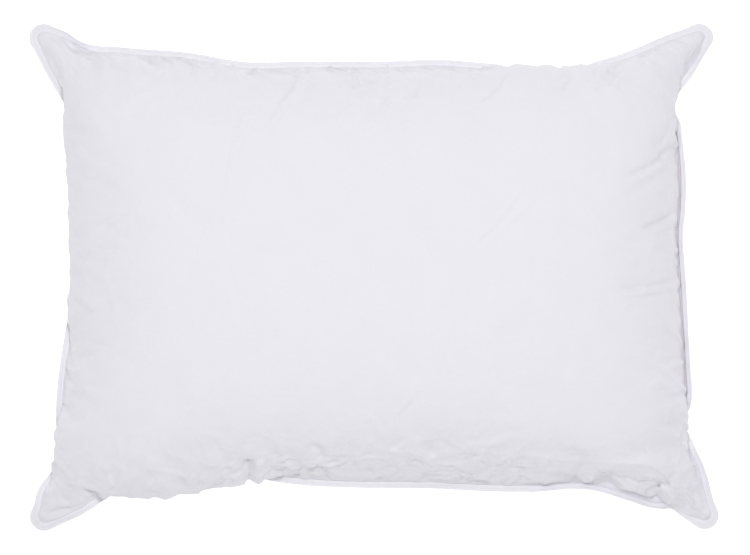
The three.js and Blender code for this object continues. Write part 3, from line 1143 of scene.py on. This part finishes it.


# ---- folds listed one by one on the upper panel

# Each fold is (start, end, bend, width, height) in millimetres, seen from above.
UPPER_FOLDS = [
    # Long press creases in the upper left and over the middle.
    ((-136, 208), (-163, 86), -5, 2.2, -1.5),
    ((-92, 218), (-128, 160), 4, 2.4, -1.8),
    ((-88, 224), (-113, 196), 3, 4.0, 2.4),
    ((27, 216), (-32, 150), 4, 2.2, -1.3),
    ((38, 196), (8, 160), 2, 2.2, -0.7),
    ((-150, 186), (-212, 181), 3, 2.2, -1.0),
    ((-166, 92), (-240, 58), -6, 2.4, -0.8),
    ((60, 150), (-8, 92), -6, 2.4, -0.8),
    ((176, 112), (104, 30), 6, 2.4, -1.0),
    ((196, 104), (140, 52), 4, 2.4, -0.8),
    ((-166, 84), (-168, 10), 2, 2.2, -0.6),
    ((52, -120), (20, -160), 3, 2.4, -0.8),
    ((-10, -150), (10, -178), 3, 2.4, -1.0),
    # Puckers along the back seam.
    ((-201, 246), (-214, 228), 2, 3.6, 1.5),
    ((-174, 240), (-192, 220), 2, 3.6, 1.4),
    ((-86, 240), (-98, 206), 2, 3.6, 2.6),
    ((58, 234), (46, 200), -2, 3.6, 2.4),
    ((96, 238), (82, 214), 2, 4.0, 1.4),
    ((154, 238), (120, 198), 4, 3.8, 2.6),
    ((228, 238), (208, 212), 3, 3.4, 2.2),
    ((262, 248), (240, 222), 3, 3.4, 2.4),
    ((291, 256), (268, 212), -4, 3.8, 3.0),
    ((322, 262), (302, 240), 3, 4.0, 1.5),
    # Folds that run in from the right end.
    ((342, 172), (318, 146), 3, 3.6, 2.6),
    ((340, 148), (282, 114), 7, 3.4, 3.6),
    ((350, 80), (302, 56), 6, 3.6, 4.2),
    ((352, -1), (276, -12), 4, 3.4, 3.0),
    ((352, -12), (288, -22), 3, 3.0, 1.2),
    ((354, -88), (322, -96), 3, 4.0, 1.0),
    ((358, -180), (322, -166), -4, 5.0, 2.2),
    # Folds that run in from the left end.
    ((-342, 42), (-266, 72), 5, 3.6, 1.3),
    ((-342, 8), (-298, 36), 4, 4.0, 1.5),
    ((-342, -58), (-288, -28), 5, 4.5, 1.3),
    ((-346, -24), (-318, -44), 3, 4.0, 1.2),
    ((-352, 140), (-322, 150), 3, 4.0, 1.0),
    # Deep folds along the front seam, where the filling stands back from it.
    ((-140, -204), (-141, -242), 1, 6.0, 9.0),
    ((-122, -204), (-96, -226), -5, 3.4, 1.8),
    ((-72, -188), (-56, -214), 5, 6.0, 4.0),
    ((-66, -212), (-50, -236), 3, 5.0, 3.6),
    ((-44, -180), (-26, -230), -4, 3.0, -1.6),
    ((-88, -226), (-78, -240), 1, 4.0, 2.4),
    ((-30, -206), (-14, -224), 2, 6.0, 2.6),
    ((16, -200), (42, -182), -3, 2.6, -1.2),
    ((44, -206), (72, -218), -4, 6.5, 3.0),
    ((54, -232), (84, -222), 3, 5.0, 2.8),
    ((92, -212), (104, -236), 2, 4.0, 2.6),
    ((126, -200), (134, -234), -2, 3.4, -2.0),
    ((160, -212), (172, -236), 3, 6.0, 2.6),
    ((196, -232), (212, -206), 3, 5.0, 2.0),
    ((232, -236), (244, -208), 3, 5.0, 2.2),
    ((-218, -226), (-212, -246), 1, 4.5, 3.0),
    ((-254, -246), (-232, -238), -2, 4.5, 2.0),
    ((-190, -236), (-172, -214), 3, 5.0, 1.6),
    # The deep dimple and its folds by the front right corner.
    ((250, -221), (346, -238), -5, 11.0, 6.5),
    ((336, -232), (318, -262), 4, 7.0, 6.5),
    ((306, -252), (340, -238), -3, 4.0, 3.0),
    ((308, -262), (344, -252), -2, 4.0, 2.6),
    ((292, -222), (318, -234), -3, 3.0, -1.6),
    ((250, -222), (286, -244), -3, 6.0, 3.0),
    ((350, -246), (360, -268), 3, 3.5, 2.4),
    ((360, -236), (374, -262), 3, 3.5, 1.8),
    # Folds across the front left ear.
    ((-330, -244), (-308, -262), 2, 5.0, 6.0),
    ((-336, -238), (-310, -250), -3, 3.4, 3.0),
    ((-372, -272), (-340, -266), 2, 3.6, 2.4),
    ((-362, -254), (-338, -238), 3, 3.6, 1.4),
    # Folds at the two back ears.
    ((348, 276), (368, 268), -2, 3.0, 1.6),
    ((352, 236), (366, 262), -3, 3.6, 1.6),
    ((-352, 268), (-328, 256), 2, 3.4, 2.0),
    ((-356, 232), (-366, 254), 3, 3.6, 1.4),
]


# ---- the pillow

def make_pillow():
    """Every piece of the pillow, fitted to one inflated cover."""
    grids = shaped_cover(seat_in_frame(*inflated_cover()))
    lower = grids[1][:, :, 2]
    grids[1][:, :, 2] = np.where(lower < SEAM_Z / 2, pressed_flat(lower), lower)
    xs, ys = graded_places(CUT_X), graded_places(CUT_Y)
    sides = [SideView(name, xs, ys) for name in SIDES]
    seam = seam_line(fine_grid(grids[0], xs, ys), sides)
    top = make_panel("cover_top", "top_panel", grids[0], xs, ys, sides, seam, True, UPPER_FOLDS)
    bottom = make_panel("cover_bottom", "bottom_panel", grids[1], xs, ys, sides, seam, False, [])
    line = piping_line(seam)
    piping = make_piping(line)
    make_threads(line)
    make_fill(grids)


# ---- studio

def add_floor():
    bpy.ops.mesh.primitive_plane_add(size=FLOOR_SIZE)
    floor = bpy.context.object
    floor.name = "floor"
    floor.data.materials.append(floor_material())


def add_key_light():
    """A soft square light that faces the middle of the pillow."""
    light = bpy.data.lights.new("key", "AREA")
    light.shape = "SQUARE"
    light.size = KEY_SIZE
    light.energy = KEY_POWER
    lamp = bpy.data.objects.new("key", light)
    lamp.location = KEY_PLACE
    lamp.rotation_euler = (Vector((0, 0, SEAM_Z)) - lamp.location).to_track_quat("-Z", "Y").to_euler()
    bpy.context.scene.collection.objects.link(lamp)


def add_sky():
    """Even white light from all round."""
    world = bpy.data.worlds.new("studio")
    world.use_nodes = True
    world.node_tree.nodes["Background"].inputs["Color"].default_value = (1, 1, 1, 1)
    world.node_tree.nodes["Background"].inputs["Strength"].default_value = SKY_LIGHT
    bpy.context.scene.world = world


def add_camera():
    """A long lens straight above the pillow."""
    data = bpy.data.cameras.new("camera")
    data.sensor_width = SENSOR_WIDTH
    data.lens = SENSOR_WIDTH * CAMERA_DISTANCE / VIEW_WIDTH
    camera = bpy.data.objects.new("camera", data)
    camera.location = (CAMERA_OFFSET, 0, SEAM_Z + CAMERA_DISTANCE)
    bpy.context.scene.collection.objects.link(camera)
    bpy.context.scene.camera = camera


make_pillow()
add_floor()
add_key_light()
add_sky()
add_camera()
bpy.context.scene.view_settings.view_transform = "Standard"
